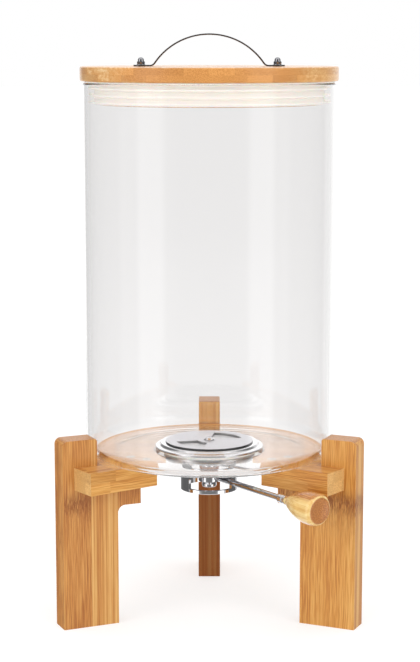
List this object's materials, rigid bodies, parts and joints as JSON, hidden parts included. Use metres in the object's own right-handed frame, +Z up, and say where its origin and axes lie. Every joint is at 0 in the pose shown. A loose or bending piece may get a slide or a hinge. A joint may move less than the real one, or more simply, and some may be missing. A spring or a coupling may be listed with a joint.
{
  "type": "dry food dispenser",
  "caption": "Countertop glass jar dispenser for grain or cereal: bamboo lid with bow handle, three-legged bamboo stand, rotary outlet valve turned by a side lever.",
  "frame": {"origin": "middle of the overall footprint, on the surface the three feet stand on; the jar's vertical axis is parallel to Z, 12.95 mm towards the front (-Y) of it", "axes": "+Z up along the jar's axis, -Y towards the front where the lever and the outlet's window are, +X to the right as seen from the front"},
  "size_m": [0.2482, 0.2372, 0.4745],
  "materials": {
    "bamboo_stand": "satin lacquered bamboo, vertical strips",
    "bamboo_lid": "satin lacquered bamboo, laminated strips",
    "bamboo_knob": "gloss lacquered bamboo",
    "jar_glass": "clear polished glass",
    "chrome": "mirror polished",
    "steel": "fine brushed stainless steel",
    "silicone": "translucent cream silicone",
    "bush_plastic": "natural acetal"
  },
  "bodies": {
    "stand": {"left_leg": "bamboo_stand", "right_leg": "bamboo_stand", "back_leg": "bamboo_stand", "left_rail": "bamboo_stand", "right_rail": "bamboo_stand", "back_left_rail": "bamboo_stand", "back_right_rail": "bamboo_stand", "tie_plate": "bamboo_stand", "rail_screws": "steel", "tie_screws": "steel"},
    "jar": {"jar": "jar_glass", "flange_gasket": "silicone", "outlet_flange": "chrome", "port_plate": "chrome", "lower_gasket": "silicone", "lock_nut": "steel", "outlet_collar": "chrome", "spindle_bush": "bush_plastic"},
    "gate": {"spindle": "steel", "gate_disc": "steel", "spindle_screw": "chrome", "hub_washer": "steel", "lever_hub": "steel", "cap_nut": "chrome", "lever_rod": "steel", "knob_ferrule": "steel", "lever_knob": "bamboo_knob"},
    "lid": {"lid_disc": "bamboo_lid", "lid_plug": "bamboo_lid", "lid_seal": "silicone", "lid_handle": "steel", "handle_washers": "steel", "handle_nuts": "steel", "handle_bolts": "steel"}
  },
  "joints": [
    {"name": "jar_lift", "type": "slide", "parent": "stand", "child": "jar", "axis": [0, 0, 1], "range_m": [0, 0.12]},
    {"name": "lid_lift", "type": "slide", "parent": "jar", "child": "lid", "axis": [0, 0, 1], "range_m": [0, 0.06]},
    {"name": "lever_turn", "type": "hinge", "parent": "jar", "child": "gate", "pos_m": [0, -0.01295, 0.1132], "axis": [0, 0, 1], "range_deg": [-76, 0]}
  ]
}
